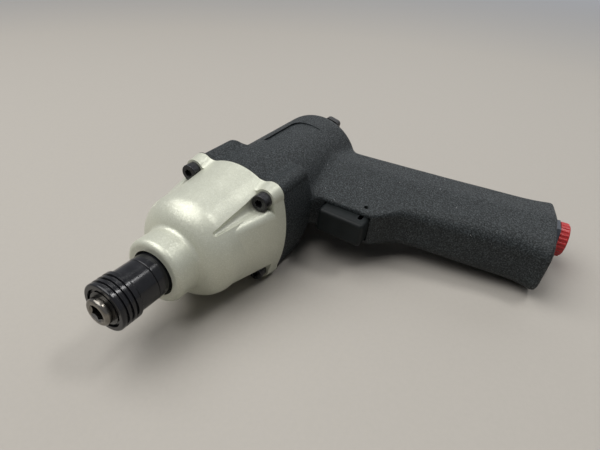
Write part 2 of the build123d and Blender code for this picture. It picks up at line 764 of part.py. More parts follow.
def front_bearing_outer():
    rear = HOUSING_FRONT + BEARING_WIDTH
    return tube(HOUSING_FRONT, rear, FRONT_BEARING_R, FRONT_BEARING_SPLIT_R + RUN)


def front_bearing_inner():
    return tube(HOUSING_FRONT, HOUSING_FRONT + BEARING_WIDTH, FRONT_BEARING_SPLIT_R, SHAFT_R + SEAT)


def rear_bearing_outer():
    return tube(MOTOR_REAR - BEARING_WIDTH, MOTOR_REAR, REAR_BEARING_R, REAR_BEARING_SPLIT_R + RUN)


def rear_bearing_inner():
    return tube(MOTOR_REAR - BEARING_WIDTH, MOTOR_REAR, REAR_BEARING_SPLIT_R, TAIL_R + SEAT)


def grip_section(along, front, back, brow, flank, spine, brow_round):
    """Rounded six-sided section of the grip, narrower at the fingers than at the palm."""
    left = [(-front, brow), (0, flank), (back, spine)]
    right = [(reach, -half) for reach, half in reversed(left)]
    face = make_face(Polyline(*left, *right, close=True))
    for (reach, half), size in zip(left, (brow_round, FLANK_ROUND, SPINE_ROUND)):
        for sign in (1, -1):
            corner = face.vertices().sort_by_distance((reach, sign * half, 0))[0]
            face = fillet(corner, size)
    return down_grip(along) * face


def grip_body():
    """Trigger block, finger hollow and palm as one smooth skin, with a rounded heel."""
    first = GRIP_SECTIONS[0][0]
    pitch = (GRIP_SECTIONS[-1][0] - first) / GRIP_SPANS
    skin = [grip_section(*grip_row(first + count * pitch)) for count in range(GRIP_SPANS + 1)]
    return loft(skin) + heel_cap()


def grip_row(along):
    """Section sizes at any distance down the grip, on a smooth curve through the table."""
    last = len(GRIP_SECTIONS) - 2
    row = max((k for k in range(last + 1) if GRIP_SECTIONS[k][0] <= along), default=0)
    start, end = GRIP_SECTIONS[row], GRIP_SECTIONS[row + 1]
    span = end[0] - start[0]
    u = (along - start[0]) / span
    sizes = [along]
    for column in range(1, len(start)):
        lead = grip_slope(row, column) * span
        trail = grip_slope(row + 1, column) * span
        blend = u * u * (3 - 2 * u)
        bend = u * (1 - u) * ((1 - u) * lead - u * trail)
        sizes.append(start[column] + (end[column] - start[column]) * blend + bend)
    return sizes


def grip_slope(row, column):
    """Slope of a table column at a row, level where the column turns back."""
    secants = []
    for near in (row - 1, row):
        if 0 <= near < len(GRIP_SECTIONS) - 1:
            start, end = GRIP_SECTIONS[near], GRIP_SECTIONS[near + 1]
            secants.append((end[column] - start[column]) / (end[0] - start[0]))
    if min(secants) * max(secants) <= 0:
        return 0.0
    return len(secants) / sum(1 / secant for secant in secants)


def heel_cap():
    """End of the grip, drawn in step by step round a quarter circle."""
    along, front, back, brow, flank, spine, brow_round = GRIP_SECTIONS[-1]
    rows = []
    for turn in (0, 30, 60, 90):
        step = HEEL_ROUND * sin(radians(turn))
        inset = HEEL_ROUND * (1 - cos(radians(turn)))
        halves = (brow - inset, flank - inset, spine - inset)
        rows.append(grip_section(along + step, front - inset, back - inset, *halves, brow_round))
    return loft(rows, ruled=True)


def barrel():
    """Round motor barrel, softened at its rear end."""
    body = tube(HOUSING_FRONT, HOUSING_REAR, BARREL_R)
    wall = BARREL_R - DIAL_RECESS_R - DIAL_RIM
    return fillet(body.edges().sort_by(Axis.Y)[-1], min(BARREL_REAR_ROUND, wall))


def screw_bosses():
    """Ears carried back along the barrel, with their rear ends tapered down to it."""
    bosses = extrude(across(HOUSING_FRONT) * flange_outline(BOSS_STEP), BOSS_LENGTH)
    rear = HOUSING_FRONT + BOSS_LENGTH
    reach = EAR_RADIAL + EAR_R
    taper = [
        (HOUSING_FRONT, 0),
        (HOUSING_FRONT, reach),
        (rear - BOSS_END, reach),
        (rear, BARREL_R - FACE),
        (rear, 0),
    ]
    return bosses & revolve(softened(outline_face(taper), (rear - BOSS_END, reach, BOSS_END)), Axis.Y)


def plate_recess():
    """Bare panel on the barrel's left side, deepest at the top and running out towards the grip."""
    front = HOUSING_FRONT + PLATE_FRONT
    middle = (PLATE_BOTTOM - PLATE_TOP) / 2
    panel = Pos(middle, front + PLATE_LENGTH / 2) * Rectangle(PLATE_TOP + PLATE_BOTTOM, PLATE_LENGTH)
    panel = fillet(panel.vertices().group_by(Axis.Y)[-1], PLATE_ROUND)
    floor = Pos(PLATE_SHIFT, 0, -PLATE_SINK) * tube(front, front + PLATE_LENGTH, BARREL_R)
    return extrude(panel, 2 * BARREL_R) - floor


def barrel_and_grip():
    """Barrel and grip as one casting, with a soft root where they meet."""
    pieces = (barrel(), grip_body())
    body = pieces[0] + pieces[1]
    return fillet(new_edges(*pieces, combined=body), min(GRIP_BLEND, BARREL_R - ROOT_HALF))


def motor_housing():
    body = barrel_and_grip() + screw_bosses() - plate_recess()
    body -= tube(HOUSING_FRONT, HOUSING_FRONT + FRONT_PLATE_FLANGE, FRONT_PLATE_R + SEAT)
    body -= tube(HOUSING_FRONT, MOTOR_REAR + VALVE_BUSH_GAP, CYLINDER_R + SEAT)
    body -= tube(MOTOR_REAR, DIAL_FRONT, VALVE_BUSH_R + SEAT)
    body -= tube(DIAL_FRONT - FACE, HOUSING_REAR, DIAL_RECESS_R)
    hole = SCREW_LENGTH - EAR_THICKNESS - GASKET + SCREW_END_ROOM
    for x, z in screw_spots():
        body -= rod(x, HOUSING_FRONT, z, (0, 1, 0), hole, SCREW_R + SEAT)
    return body - throttle_cuts() - inlet_cuts()


def throttle_cuts():
    """Trigger slot, cross pin hole, throttle bore and the port up to the reversing valve."""
    length = SLOT_REAR - TRIGGER_FRONT
    slot = Box(TRIGGER_HEIGHT + 2 * FACE, length, TRIGGER_WIDTH + 2 * FACE)
    cuts = Pos(TRIGGER_CENTRE, TRIGGER_FRONT + length / 2, 0) * slot
    cuts += rod(TRIGGER_CENTRE, SLOT_REAR, 0, (0, 1, 0), CHAMBER_REAR - SLOT_REAR, THROTTLE_R + SEAT)
    cuts += rod(PIN_X, PIN_Y, -TRIGGER_WIDTH * 2, (0, 0, 1), TRIGGER_WIDTH * 4, TRIGGER_PIN_R + SEAT)
    port = SLOT_REAR + THROTTLE_BUSH_LENGTH / 2
    cuts += rod(0, port, 0, (1, 0, 0), TRIGGER_CENTRE, THROTTLE_PORT_R)
    feed = (VALVE_REAR + CHAMBER_REAR) / 2
    drop = PASSAGE_TOP - TRIGGER_CENTRE + PASSAGE_R
    return cuts + rod(TRIGGER_CENTRE, feed, 0, (1, 0, 0), drop, THROTTLE_PORT_R)


def inlet_cuts():
    """Air passage up the grip, the bushing's bore and the muffler's pocket at the heel."""
    cuts = pipe(at_inlet(PASSAGE_TOP), GRIP_LENGTH - PASSAGE_TOP, PASSAGE_R)
    bore = INLET_LENGTH + SCREEN_THICKNESS
    cuts += pipe(at_inlet(GRIP_LENGTH - bore), bore, INLET_R + SEAT)
    cuts += extrude(down_grip(GRIP_LENGTH - EXHAUST_PLATE) * exhaust_outline(), EXHAUST_PLATE)
    return cuts + extrude(muffler_plane(MUFFLER_TOP) * muffler_outline(SEAT), MUFFLER_DEPTH)


def exhaust_outline(clearance=0.0):
    """Outline of the plate set into the heel."""
    length = HEEL_FRONT + HEEL_BACK - 2 * EXHAUST_MARGIN - 2 * clearance
    width = 2 * (HEEL_HALF - clearance)
    return Pos((HEEL_BACK - HEEL_FRONT) / 2, 0) * RectangleRounded(length, width, EXHAUST_ROUND)


def muffler_plane(along):
    """Plane square to the grip, ahead of the inlet bushing."""
    return at_inlet(along) * Pos(-INLET_R - MUFFLER_LENGTH / 2 - EXHAUST_SLOT_WIDTH, 0)


def muffler_outline(clearance=0.0):
    length = MUFFLER_LENGTH + 2 * clearance
    return RectangleRounded(length, MUFFLER_WIDTH + 2 * clearance, EXHAUST_SLOT_WIDTH)


def exhaust_cover():
    """Slotted plate in the heel, clamped by the inlet bushing."""
    start = GRIP_LENGTH - EXHAUST_PLATE
    cover = extrude(down_grip(start) * exhaust_outline(SEAT), EXHAUST_PLATE)
    cover -= pipe(at_inlet(start), EXHAUST_PLATE, INLET_R + SEAT)
    pitch = MUFFLER_WIDTH / (EXHAUST_SLOTS + 1)
    slot = SlotOverall(MUFFLER_LENGTH - EXHAUST_SLOT_WIDTH, EXHAUST_SLOT_WIDTH)
    for count in range(EXHAUST_SLOTS):
        place = Pos(0, (count + 1) * pitch - MUFFLER_WIDTH / 2)
        cover -= extrude(muffler_plane(start) * place * slot, EXHAUST_PLATE)
    return cover


def muffler():
    return extrude(muffler_plane(MUFFLER_TOP) * muffler_outline(), MUFFLER_DEPTH)


def inlet_bushing():
    """Threaded bushing in the heel, with a hexagon to turn it by."""
    start = GRIP_LENGTH - INLET_LENGTH
    hexagon = RegularPolygon(INLET_HEX_AF / 2, 6, False)
    bushing = pipe(at_inlet(start), INLET_LENGTH, INLET_R)
    bushing += extrude(at_inlet(GRIP_LENGTH) * hexagon, INLET_HEX)
    bushing -= pipe(at_inlet(start), INLET_LENGTH + INLET_HEX, INLET_THREAD_R)
    bushing -= pipe(at_inlet(GRIP_LENGTH + INLET_HEX - INLET_MOUTH), INLET_MOUTH, INLET_MOUTH_R)
    groove = start + 4 * INLET_RING_R
    floor = INLET_R - 2 * INLET_RING_R + SEAT
    return bushing - pipe(at_inlet(groove - INLET_RING_R), 2 * INLET_RING_R, INLET_R, floor)


def inlet_o_ring():
    plane = at_inlet(GRIP_LENGTH - INLET_LENGTH + 4 * INLET_RING_R)
    return torus_ring(plane, INLET_R - INLET_RING_R + SEAT, INLET_RING_R - SEAT)


def inlet_screen():
    """Strainer disc at the inner end of the bushing."""
    start = GRIP_LENGTH - INLET_LENGTH - SCREEN_THICKNESS
    screen = pipe(at_inlet(start), SCREEN_THICKNESS - SEAT, INLET_R)
    for count in range(1, SCREEN_RINGS + 1):
        radius = count * INLET_THREAD_R / (SCREEN_RINGS + 1)
        for step in range(6 * count):
            place = at_inlet(start) * Rot(0, 0, 60 * step / count) * Pos(radius, 0)
            screen -= pipe(place, SCREEN_THICKNESS, SCREEN_HOLE_R)
    return screen


def dust_plug():
    """Push-in plug with a ridged rim that keeps dirt out of the inlet."""
    seat = GRIP_LENGTH + INLET_HEX + TOUCH
    rim = pipe(at_inlet(seat), PLUG_RIM, PLUG_R - PLUG_RIDGE_R / 2)
    rim = fillet(rim.edges().filter_by(GeomType.CIRCLE).sort_by(Axis.X)[-1], PLUG_ROUND)
    for count in range(PLUG_RIDGES):
        place = Rot(0, 0, 360 / PLUG_RIDGES * count) * Pos(PLUG_R - PLUG_RIDGE_R, 0)
        rim += pipe(at_inlet(seat) * place, PLUG_RIM - PLUG_ROUND, PLUG_RIDGE_R)
    return rim + pipe(at_inlet(seat - PLUG_SPIGOT), PLUG_SPIGOT, INLET_MOUTH_R - RUN)


def trigger():
    """Finger block with a slot for its cross pin and a socket for its stem."""
    middle = Pos(TRIGGER_CENTRE, TRIGGER_FRONT + TRIGGER_DEPTH / 2, 0)
    block = middle * Box(TRIGGER_HEIGHT, TRIGGER_DEPTH, TRIGGER_WIDTH)
    rear = block.faces().sort_by(Axis.Y)[-1]
    kept = rear.edges()
    block = fillet([edge for edge in block.edges() if edge not in kept], TRIGGER_ROUND)
    pin = TRIGGER_PIN_R + RUN
    slot = SlotCenterToCenter(TRIGGER_TRAVEL, 2 * pin, rotation=90)
    block -= extrude(Pos(PIN_X, PIN_Y - TRIGGER_TRAVEL / 2, -TRIGGER_WIDTH) * slot, 2 * TRIGGER_WIDTH)
    depth = 2 * STEM_R
    return block - rod(TRIGGER_CENTRE, TRIGGER_REAR - depth, 0, (0, 1, 0), depth, STEM_R + SEAT)


def trigger_pin():
    return rod(PIN_X, PIN_Y, -BLOCK_HALF, (0, 0, 1), 2 * BLOCK_HALF, TRIGGER_PIN_R)


def trigger_stem():
    start = TRIGGER_REAR - 2 * STEM_R
    return rod(TRIGGER_CENTRE, start, 0, (0, 1, 0), VALVE_FRONT - start, STEM_R)


def throttle_bushing():
    """Stem guide and valve seat, with a cross port to the motor."""
    front = across(SLOT_REAR) * Pos(TRIGGER_CENTRE, 0)
    middle = SLOT_REAR + THROTTLE_BUSH_LENGTH / 2
    bushing = pipe(front, THROTTLE_BUSH_LENGTH, THROTTLE_R, STEM_R + RUN)
    chamber = middle - THROTTLE_PORT_R
    bushing -= rod(TRIGGER_CENTRE, chamber, 0, (0, 1, 0), THROTTLE_BUSH_LENGTH, 2 * STEM_R)
    return bushing - rod(0, middle, 0, (1, 0, 0), TRIGGER_CENTRE, THROTTLE_PORT_R)


def throttle_valve():
    return rod(TRIGGER_CENTRE, VALVE_FRONT, 0, (0, 1, 0), VALVE_THICKNESS, VALVE_R)


def valve_seal():
    """Rubber ring on the valve's face that closes on the bushing."""
    plane = across(VALVE_FRONT - VALVE_SEAL_R - SEAT) * Pos(TRIGGER_CENTRE, 0)
    return torus_ring(plane, VALVE_R - VALVE_SEAL_R, VALVE_SEAL_R)


def throttle_spring():
    start = VALVE_REAR + TOUCH
    end = CHAMBER_REAR - TOUCH
    coil = helix_tube(start, end, THROTTLE_COIL_R, THROTTLE_WIRE_R, THROTTLE_COILS)
    return Pos(TRIGGER_CENTRE, 0, 0) * coil


def reverse_bushing():
    bushing = tube(VALVE_BUSH_FRONT, DIAL_FRONT - FACE, VALVE_BUSH_R, SPOOL_R + RUN)
    port = SLOT_REAR + THROTTLE_BUSH_LENGTH / 2
    return bushing - rod(0, port, 0, (1, 0, 0), VALVE_BUSH_R * 2, THROTTLE_PORT_R)


def reverse_valve():
    """Spool with two side slots that swap the air between the motor's ports."""
    spool = tube(VALVE_BUSH_FRONT, DIAL_FRONT, SPOOL_R)
    start = VALVE_BUSH_FRONT + SPOOL_SLOT
    for side in (-1, 1):
        cut = Box(SPOOL_SLOT, SPOOL_SLOT_LENGTH, 2 * SPOOL_R)
        spool -= Pos(side * SPOOL_R, start + SPOOL_SLOT_LENGTH / 2, 0) * cut
    spool -= reverse_ring_groove()
    return spool - tube(DIAL_FRONT - DIAL_SCREW_LENGTH, DIAL_FRONT, DIAL_SCREW_R + SEAT)


def reverse_ring_station():
    return DIAL_FRONT - DIAL_SCREW_LENGTH / 2


def reverse_ring_groove():
    middle = reverse_ring_station()
    return tube(middle - RING_R, middle + RING_R, SPOOL_R + RUN, SPOOL_R - 2 * RING_R)


def reverse_o_ring():
    return torus_ring(across(reverse_ring_station()), SPOOL_R - RING_R, RING_R - SEAT)


def reverse_dial():
    """Round dial sunk in the barrel's rear face, with a thumb bar that reaches out at both sides."""
    rear = DIAL_FRONT + DIAL_THICKNESS
    dial = tube(DIAL_FRONT, rear, DIAL_R)
    dial = fillet(dial.edges().filter_by(GeomType.CIRCLE).sort_by(Axis.Y)[-1], DIAL_ROUND)
    bar = RectangleRounded(2 * DIAL_BAR_REACH, DIAL_BAR_WIDTH, DIAL_BAR_ROUND)
    grip = extrude(across(rear) * Rot(0, 0, DIAL_BAR_TURN - 90) * bar, DIAL_BAR_HEIGHT)
    dial += fillet(grip.faces().sort_by(Axis.Y)[-1].edges(), DIAL_ROUND)
    for count in range(DIAL_NOTCHES):
        place = Rot(0, 360 / DIAL_NOTCHES * count, 0) * Pos(DIAL_R, 0, 0)
        dial -= place * tube(DIAL_FRONT, rear, DIAL_NOTCH_R)
    top = rear + DIAL_BAR_HEIGHT
    dial -= tube(DIAL_FRONT, top, DIAL_SCREW_R + SEAT)
    return dial - tube(top - DIAL_SCREW_HEAD, top, DIAL_SCREW_HEAD_R + SEAT)


def dial_screw():
    """Cross-recessed screw that holds the dial on the spool."""
    top = DIAL_FRONT + DIAL_THICKNESS + DIAL_BAR_HEIGHT
    seat = top - DIAL_SCREW_HEAD
    end = DIAL_FRONT - DIAL_SCREW_LENGTH + SCREW_END_ROOM
    screw = tube(seat, top, DIAL_SCREW_HEAD_R) + tube(end, seat, DIAL_SCREW_R)
    for turn in (0, 90):
        slot = Box(DIAL_SCREW_HEAD_R * 1.3, DIAL_SCREW_HEAD, DIAL_SCREW_R / 2)
        screw -= Rot(0, turn, 0) * Pos(0, top, 0) * slot
    return screw


NODES = {
    "motor_housing": motor_housing,
    "hammer_case": hammer_case,
    "case_gasket": case_gasket,
    "case_screws": case_screws,
    "anvil_bush": anvil_bush,
    "nose_seal": nose_seal,
    "anvil": anvil,
    "chuck_sleeve": chuck_sleeve,
    "chuck_collar": chuck_collar,
    "chuck_washer": chuck_washer,
    "chuck_snap_ring": chuck_snap_ring,
    "chuck_spring": chuck_spring,
    "chuck_ball": chuck_ball,
    "hammer_cage": hammer_cage,
    "front_hammer": lambda: hammer(HAMMER_FRONT, 1),
    "rear_hammer": lambda: hammer(HAMMER_FRONT + HAMMER_PITCH, -1),
    "hammer_pins": hammer_pins,
    "front_end_plate": front_end_plate,
    "motor_cylinder": motor_cylinder,
    "rear_end_plate": rear_end_plate,
    "cylinder_dowel": dowel,
    "rotor": rotor,
    "rotor_vanes": rotor_vanes,
    "front_bearing_outer": front_bearing_outer,
    "front_bearing_inner": front_bearing_inner,
    "rear_bearing_outer": rear_bearing_outer,
    "rear_bearing_inner": rear_bearing_inner,
    "trigger": trigger,
    "trigger_pin": trigger_pin,
    "trigger_stem": trigger_stem,
    "throttle_bushing": throttle_bushing,
    "throttle_valve": throttle_valve,
    "valve_seal": valve_seal,
    "throttle_spring": throttle_spring,
    "reverse_bushing": reverse_bushing,
    "reverse_valve": reverse_valve,
    "reverse_o_ring": reverse_o_ring,
    "reverse_dial": reverse_dial,
    "dial_screw": dial_screw,
    "exhaust_cover": exhaust_cover,
    "muffler": muffler,
    "inlet_bushing": inlet_bushing,
    "inlet_o_ring": inlet_o_ring,
    "inlet_screen": inlet_screen,
    "dust_plug": dust_plug,
}


def solids_of(shape):
    """Every solid of a node, whether it is one shape or a list of repeats."""
    pieces = shape if isinstance(shape, list) else [shape]
    return [solid for piece in pieces for solid in piece.solids()]


os.makedirs("parts", exist_ok=True)
for name, build in NODES.items():
    solids = solids_of(build())
    node = solids[0] if len(solids) == 1 else Compound(children=solids)
    export_step(node, f"parts/{name}.step")
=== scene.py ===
import json
from math import radians

import bpy
from mathutils import Matrix, Quaternion, Vector

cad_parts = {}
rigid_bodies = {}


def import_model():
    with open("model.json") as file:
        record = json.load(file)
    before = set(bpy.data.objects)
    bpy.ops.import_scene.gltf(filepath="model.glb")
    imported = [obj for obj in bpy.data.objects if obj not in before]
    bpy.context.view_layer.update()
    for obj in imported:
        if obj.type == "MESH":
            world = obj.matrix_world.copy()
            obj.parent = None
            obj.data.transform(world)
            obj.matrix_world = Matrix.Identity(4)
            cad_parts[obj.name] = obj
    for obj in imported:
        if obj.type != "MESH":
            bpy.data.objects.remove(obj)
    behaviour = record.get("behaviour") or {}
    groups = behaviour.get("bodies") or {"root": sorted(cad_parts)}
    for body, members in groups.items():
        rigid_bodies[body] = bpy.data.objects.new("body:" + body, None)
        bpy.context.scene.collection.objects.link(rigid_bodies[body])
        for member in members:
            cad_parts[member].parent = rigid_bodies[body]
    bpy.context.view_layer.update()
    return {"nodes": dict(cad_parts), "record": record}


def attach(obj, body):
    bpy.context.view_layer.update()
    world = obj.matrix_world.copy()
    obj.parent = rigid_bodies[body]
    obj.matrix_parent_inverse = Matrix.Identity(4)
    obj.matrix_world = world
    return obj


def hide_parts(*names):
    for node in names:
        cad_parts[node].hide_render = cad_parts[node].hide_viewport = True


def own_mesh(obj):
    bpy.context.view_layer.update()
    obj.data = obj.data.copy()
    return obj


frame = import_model()

# The scene is in metres, in the part's own frame. The tool lies on its right side: X runs down
# the grip, Y rearwards along the spindle and Z up.
MM = 0.001

# Camera, at the photograph's place and angle on a 600 x 450 picture
EYE = Vector((0.12082, -0.07396, 0.14107))
LOOK = Vector((-0.36596, 0.72697, -0.58102))
ROLL = 7.45
LENS = 27.6
SENSOR = 36.0
NEAREST = 0.01

# Floor: the plane that the flange, the barrel and the heel rest on
FLOOR_LEVEL = -31.55 * MM
FLOOR_RISE_X = 0.0684
FLOOR_RISE_Y = 0.01697
FLOOR_HALF = 4.0
FLOOR_COLOUR = (0.45, 0.424, 0.386, 1.0)
FLOOR_ROUGHNESS = 0.7
SPECK_SIZE = 2 * MM
SPECK_LIFT = 1.06  # how much paler than the floor its specks are
FADE_NEAR = 0.65  # from here to FADE_FAR the camera sees the backdrop in place of the floor
FADE_FAR = 1.4

# World: a weak light all round, which the camera and the reflections see as a pale backdrop
WORLD_COLOUR = (0.93, 0.95, 1.0, 1.0)
WORLD_STRENGTH = 0.05
BACKDROP_STRENGTH = 0.38

# Lamps, all aimed at the middle of the tool. The columns are place, width, height, power and
# colour.
LAMP_AIM = (0.05, 0.1, 0.0)
WARM = (1.0, 0.99, 0.97)
COOL = (0.97, 0.985, 1.0)
LAMPS = {
    "ceiling": ((-0.5, -0.2, 1.2), 1.5, 1.3, 21.0, WARM),
    "strip": ((0.42, 0.5, 1.2), 0.34, 0.16, 3.2, WARM),
    "back": ((0.1, 1.4, 0.8), 1.8, 0.9, 4.5, COOL),
}

# Wear along edges: how alike the rounded and the true normal are on a face and at a sharp edge,
# and the noise level at which a rubbed patch is full
BEVEL_SAMPLES = 4
FACE_LIKENESS = 0.99
EDGE_LIKENESS = 0.9
RUB_FULL = 0.6


def grey(level):
    return (level, level, level, 1.0)


# Metals turned about the spindle, by material slot. The columns are the dark and the light
# colour, the roughness, the colour of worn edges and the metallic share.
RING_STEP = 0.12 * MM
RING_RUN = 5 * MM
METALS = {
    "screw_black": ((0.018, 0.018, 0.02, 1), (0.036, 0.036, 0.04, 1), 0.26, grey(0.16), 0.5),
    "bronze": ((0.38, 0.23, 0.09, 1), (0.6, 0.4, 0.18, 1), 0.38, None, 1.0),
    "steel_spindle": (
        (0.13, 0.12, 0.105, 1), (0.26, 0.245, 0.22, 1), 0.22, (0.5, 0.48, 0.45, 1), 1.0
    ),
    "oxide_black": (
        (0.008, 0.0084, 0.0105, 1), (0.015, 0.0156, 0.019, 1), 0.18, grey(0.06), 0.2
    ),
    "spring_steel": (grey(0.05), grey(0.13), 0.3, grey(0.3), 1.0),
    "steel_ball": (grey(0.52), grey(0.66), 0.14, None, 1.0),
    "steel_inner": (grey(0.26), grey(0.4), 0.3, grey(0.55), 1.0),
    "iron": (grey(0.17), grey(0.3), 0.42, None, 1.0),
    "brass": ((0.5, 0.36, 0.14, 1), (0.66, 0.5, 0.23, 1), 0.28, None, 1.0),
    "bush_dark": (
        (0.045, 0.053, 0.066, 1), (0.085, 0.096, 0.115, 1), 0.4, (0.25, 0.26, 0.28, 1), 0.6
    ),
}

# Plastics and rubbers, by material slot. The columns are the dark and the light colour, the
# roughness, the colour of rubbed edges, the size and depth of the grain and the specular level.
PLASTICS = {
    "gasket": (grey(0.008), grey(0.02), 0.75, None, 0.4 * MM, 0.03 * MM, 0.5),
    "rubber_black": (grey(0.01), grey(0.022), 0.7, None, 0.3 * MM, 0.03 * MM, 0.5),
    "dial_black": (grey(0.009), grey(0.016), 0.5, grey(0.05), 0.5 * MM, 0.03 * MM, 0.5),
    "trigger_black": (
        (0.0062, 0.0078, 0.008, 1), (0.0115, 0.0142, 0.0146, 1), 0.46, (0.085, 0.09, 0.1, 1),
        0.5 * MM, 0.03 * MM, 0.17,
    ),
    "plug_red": (
        (0.41, 0.012, 0.015, 1), (0.5, 0.019, 0.022, 1), 0.36, (0.75, 0.1, 0.09, 1),
        0.6 * MM, 0.02 * MM, 0.5,
    ),
}

FLAKE_TILT = 0.15  # how far the flakes of the case's paint lean
WEAVE_SCALE = 400.0


class Pattern:
    """Builds one material. Its patterns are laid out in the part's frame, with sizes in metres."""

    def __init__(self, name, **fixed):
        self.material = bpy.data.materials.new(name)
        self.material.use_nodes = True
        self.tree = self.material.node_tree
        self.shader = self.tree.nodes["Principled BSDF"]
        for socket, value in fixed.items():
            self.shader.inputs[socket.replace("_", " ")].default_value = value
        self.place = self.node("ShaderNodeTexCoord").outputs["Object"]

    def join(self, value, socket):
        """Link a pattern to a socket, or set a plain value there."""
        if isinstance(value, bpy.types.NodeSocket):
            self.tree.links.new(value, socket)
        else:
            socket.default_value = value

    def node(self, kind, inputs=None, **settings):
        node = self.tree.nodes.new(kind)
        for name, value in settings.items():
            setattr(node, name, value)
        for name, value in (inputs or {}).items():
            self.join(value, node.inputs[name])
        return node

    def math(self, operation, a, b):
        return self.node("ShaderNodeMath", {0: a, 1: b}, operation=operation).outputs[0]

    def vector(self, operation, *inputs, output="Vector"):
        node = self.node("ShaderNodeVectorMath", dict(enumerate(inputs)), operation=operation)
        return node.outputs[output]

    def times(self, a, b):
        return self.math("MULTIPLY", a, b)

    def blend(self, a, b, share):
        """The weighted mean of two patterns, with a's share given."""
        return self.math("ADD", self.times(a, share), self.times(b, 1 - share))

    def span(self, value, low, high, to_low=0.0, to_high=1.0):
        """Stretch a value from one range to another, clamped."""
        inputs = {
            "Value": value,
            "From Min": low,
            "From Max": high,
            "To Min": to_low,
            "To Max": to_high,
        }
        return self.node("ShaderNodeMapRange", inputs).outputs["Result"]

    def mix(self, share, a, b):
        """Blend from colour a to colour b."""
        node = self.node("ShaderNodeMix", data_type="RGBA")
        ends = [socket for socket in node.inputs if socket.type == "RGBA"]
        for socket, value in zip([node.inputs[0], *ends], (share, a, b)):
            self.join(value, socket)
        return [socket for socket in node.outputs if socket.type == "RGBA"][0]

    def stretched(self, x, y, z):
        """The part's frame, scaled along each axis, for grain that runs one way."""
        inputs = {"Vector": self.place, "Scale": (x, y, z)}
        return self.node("ShaderNodeMapping", inputs).outputs["Vector"]

    def noise(self, size, detail=2.0, roughness=0.5, place=None):
        inputs = {
            "Vector": place or self.place,
            "Scale": 1.0 / size,
            "Detail": detail,
            "Roughness": roughness,
        }
        return self.node("ShaderNodeTexNoise", inputs).outputs["Fac"]

    def patches(self, size, low, high, detail=3.0):
        """Noise that is 0 up to one level and 1 from another on."""
        return self.span(self.noise(size, detail), low, high)

    def cells(self, size, output="Distance"):
        inputs = {"Vector": self.place, "Scale": 1.0 / size}
        return self.node("ShaderNodeTexVoronoi", inputs).outputs[output]

    def normal(self):
        return self.node("ShaderNodeNewGeometry").outputs["Normal"]

    def edges(self, radius):
        """1 along sharp edges and 0 on flat faces."""
        bevel = self.node("ShaderNodeBevel", {"Radius": radius}, samples=BEVEL_SAMPLES)
        likeness = self.vector("DOT_PRODUCT", bevel.outputs[0], self.normal(), output="Value")
        return self.span(likeness, FACE_LIKENESS, EDGE_LIKENESS)

    def rub(self, base, colour, share, radius, patch, low):
        """Show another colour along the edges, in patches."""
        rubbed = self.times(self.edges(radius), self.patches(patch, low, RUB_FULL))
        return self.mix(self.times(rubbed, share), base, colour)

    def bump(self, height, depth, strength=1.0, normal=None):
        inputs = {"Height": height, "Distance": depth, "Strength": strength}
        if normal is not None:
            inputs["Normal"] = normal
        return self.node("ShaderNodeBump", inputs).outputs["Normal"]

    def wear(self, **links):
        """Join patterns to the shader's sockets."""
        for socket, value in links.items():
            self.tree.links.new(value, self.shader.inputs[socket.replace("_", " ")])
        return self.material


def coat_black():
    """Black coat, fine crackled grain, rubbed edges; crowns paler, partly painted sparkle; painted
    glints.
    """
    # The crown colour is partly the grain's own tone and partly painted sparkle; the glint colour
    # is painted glints.
    pit, crown_and_sparkle = (0.01, 0.0122, 0.013, 1), (0.056, 0.067, 0.0715, 1)
    faded, worn = (0.023, 0.0278, 0.03, 1), (0.1, 0.105, 0.115, 1)
    dust, painted_glint = (0.42, 0.42, 0.43, 1), (0.22, 0.235, 0.245, 1)
    p = Pattern("coat_black", IOR=1.5, Specular_IOR_Level=0.25)
    coarse = p.noise(0.75 * MM, 2.0, 0.55)
    fine = p.noise(0.32 * MM, 2.0, 0.5)
    height = p.blend(coarse, fine, 0.75)
    # Grain tone from pits to crowns; the pale crowns are partly painted sparkle.
    base = p.mix(p.span(height, 0.46, 0.64), pit, crown_and_sparkle)
    base = p.mix(p.span(p.noise(16 * MM, 3.0), 0.35, 0.75, 0.0, 0.3), base, faded)
    base = p.rub(base, worn, share=0.3, radius=0.9 * MM, patch=3 * MM, low=0.45)
    specks = p.span(p.cells(4.2 * MM), 0.075, 0.045)
    specks = p.times(specks, p.patches(19 * MM, 0.56, 0.6, detail=0.0))
    base = p.mix(p.times(specks, 0.8), base, dust)
    # Painted glints: sparse pale dots on the grain, painted in place of sparkles of light.
    points = p.times(p.span(p.cells(1.2 * MM), 0.22, 0.12), p.span(fine, 0.45, 0.6))
    base = p.mix(p.times(points, 0.7), base, painted_glint)
    rough = p.span(height, 0.42, 0.64, 0.62, 0.34)
    return p.wear(Base_Color=base, Roughness=rough, Normal=p.bump(height, 0.45 * MM, 0.95))


